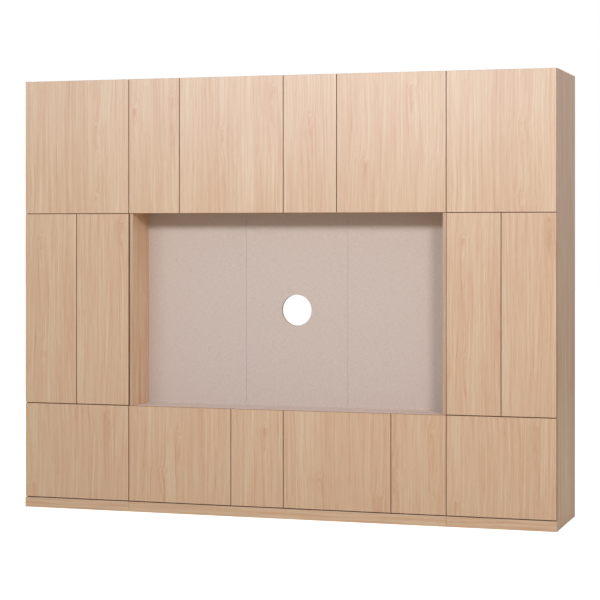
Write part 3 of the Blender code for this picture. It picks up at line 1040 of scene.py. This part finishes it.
def carcass_half(rise):
    """The plate and arm about a point of the side's inner face at its front, inward being +X.

    Rise is how far in from that face the arm's nose stands.
    """
    plate = bmesh.new()
    middle = (plate_thickness / 2, plate_setback, 0)
    add_block(plate, middle, (plate_thickness, plate_width, plate_height))
    ends = [
        edge for edge in plate.edges
        if abs(edge.verts[0].co.x - edge.verts[1].co.x) > plate_thickness / 2
    ]
    ease(plate, ends, plate_corner, 4)
    ease_sharp(plate, 50, plate_ease)
    plate_mesh = as_template("hinge_plate", plate)
    outline = (
        (0, rise - arm_nose / 2),
        (0, rise + arm_nose / 2),
        (arm_shoulder, rise + arm_crown),
        (arm_length - arm_shoulder, rise + arm_crown),
        (arm_length, arm_tail),
        (arm_length, arm_seat),
        (plate_setback - plate_width / 2, arm_seat),
    )
    arm = bmesh.new()
    cheek = arm.faces.new([arm.verts.new((x, y, -arm_width / 2)) for y, x in outline])
    swept = bmesh.ops.extrude_face_region(arm, geom=[cheek])["geom"]
    far_corners = [part for part in swept if isinstance(part, bmesh.types.BMVert)]
    bmesh.ops.translate(arm, vec=(0, 0, arm_width), verts=far_corners)
    bmesh.ops.recalc_face_normals(arm, faces=arm.faces)
    ease_sharp(arm, 8, arm_ease, 3)
    stamp(arm, plate_mesh)
    for height in (-plate_screw_pitch / 2, plate_screw_pitch / 2):
        on_plate = Matrix.Translation((plate_thickness, plate_setback, height))
        stamp(arm, screw_template, on_plate @ facing_in)
    for y in (arm_screw_inset, arm_length - arm_screw_inset):
        on_arm = Matrix.Translation((rise + arm_crown, y, 0))
        stamp(arm, screw_template, on_arm @ facing_in)
    nose_pin = (rise, nose_pin_setback, 0)
    add_bore(arm, nose_pin, (0, 0, 1), nose_pin_diameter, nose_pin_length, facets=14)
    return as_template("hinge_carcass_half", arm)


carcass_halves = {}
for name, (carrier, _, _) in door_data.items():
    low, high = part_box(name)
    edge = hinged_edge(name)
    inward = door_inward[name]
    face = board_faces[carrier][1 if inward > 0 else 0]
    rise = round((edge - face) * inward + cup_inset, 5)
    if rise not in carcass_halves:
        carcass_halves[rise] = carcass_half(rise)
    arms = bmesh.new()
    for height in hinge_heights(low, high):
        place = Matrix.Translation((face, carcass_front, height))
        stamp(arms, carcass_halves[rise], place @ hinge_turn(inward))
    finish_piece(name + "_hinge_arms", arms, [nickel], "carcass", sharp=32)


# Hinge links
# The steel link of each hinge, which swings out of the cup as the door opens. It spans from the
# arm's nose at one end to the cup's pin at the other.
link_width = 0.0095
link_thickness = 0.0018
link_rows = 12
for name in door_data:
    low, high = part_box(name)
    edge = hinged_edge(name)
    inward = door_inward[name]
    nose = Vector((edge + inward * cup_inset, carcass_front + nose_pin_setback, 0))
    pin_x = edge + inward * (cup_inset - hinge_pin_inset)
    pin = Vector((pin_x, low.y + board - hinge_pin_depth, 0))
    along = pin - nose
    aside = Vector((along.y, -along.x, 0)).normalized() * link_thickness / 2
    links = bmesh.new()
    for height in hinge_heights(low, high):
        foot = nose + Vector((0, 0, height - link_width / 2))
        top = foot + Vector((0, 0, link_width))
        outline = (foot + aside, foot - aside, top - aside, top + aside)
        corners = [links.verts.new(corner) for corner in outline]
        section = links.faces.new(corners)
        for _ in range(link_rows):
            swept = bmesh.ops.extrude_face_region(links, geom=[section])["geom"]
            links.faces.remove(section)
            section = [part for part in swept if isinstance(part, bmesh.types.BMFace)][0]
            bmesh.ops.translate(links, vec=along / link_rows, verts=section.verts)
        links.faces.new(corners)
    bmesh.ops.recalc_face_normals(links, faces=links.faces)
    made = finish_piece(name + "_hinge_links", links, [nickel], None, sharp=32)
    height = hinge_heights(low, high)[0]
    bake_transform(made)


# Push latches
# A grey plastic spring latch under the board over each door's free edge: pressing the door lets its
# plunger push it open.
latch_inset = 0.045
latch_width = 0.014
latch_height = 0.014
latch_length = 0.060
latch_lip = 0.001
latch_ease = 0.0012
latch_screws = (0.018, 0.048)
plunger_diameter = 0.008
plunger_gap = 0.0003
plunger_root = 0.002


def moulded_plastic(name, colour):
    """Plastic with the fine grain of its mould."""
    made, tree, shader = new_finish(name)
    place = add_node(tree, "TexCoord").outputs["Object"]
    grain = noise(tree, place, (900, 900, 900))
    darker = [value * 0.92 for value in colour[:3]] + [1]
    feed_all(
        tree, shader, Base_Color=mixed(tree, grain, darker, colour), Roughness=0.48,
        Normal=relief(tree, grain, 0.15, 0.0002),
    )
    return made


grey_plastic = moulded_plastic("grey_plastic", (0.36, 0.365, 0.375, 1))
latch_boards = {
    "base_door_1": "left_column_lower_deck", "base_door_6": "right_column_lower_deck",
    "middle_door_1": "left_column_upper_deck", "middle_door_2": "left_column_upper_deck",
    "middle_door_3": "right_column_upper_deck", "middle_door_4": "right_column_upper_deck",
    "top_door_1": "left_column_top", "top_door_6": "right_column_top",
}
for name in door_data:
    low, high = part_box(name)
    carrier = latch_boards.get(name, "run_countertop" if name.startswith("base") else "bridge_top")
    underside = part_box(carrier)[1].z - board
    x = high.x - latch_inset if door_inward[name] > 0 else low.x + latch_inset
    front = carcass_front + latch_lip
    middle = (x, front + latch_length / 2, underside - latch_height / 2)
    latch = bmesh.new()
    add_block(latch, middle, (latch_width, latch_length, latch_height))
    ease_sharp(latch, 50, latch_ease, 3)
    tip = low.y + board + plunger_gap
    root = front + plunger_root
    middle = (x, (tip + root) / 2, underside - latch_height / 2)
    plunger = bmesh.new()
    add_bore(plunger, middle, (0, 1, 0), plunger_diameter, root - tip, facets=24)
    rim = [
        edge for edge in plunger.edges
        if edge.calc_face_angle(0) > 1 and edge.verts[0].co.y < front
    ]
    ease(plunger, rim, latch_ease, 3)
    stamp(latch, as_template("plunger", plunger))
    plastic_faces = len(latch.faces)
    facing_down = Matrix.Rotation(math.pi, 4, "X")
    for screw_setback in latch_screws:
        under = Matrix.Translation((x, front + screw_setback, underside - latch_height))
        stamp(latch, screw_template, under @ facing_down)
    latch.faces.ensure_lookup_table()
    for face in latch.faces[plastic_faces:]:
        face.material_index = 1
    finishes = [grey_plastic, zinc]
    finish_piece(name + "_latch", latch, finishes, "carcass", sharp=32)
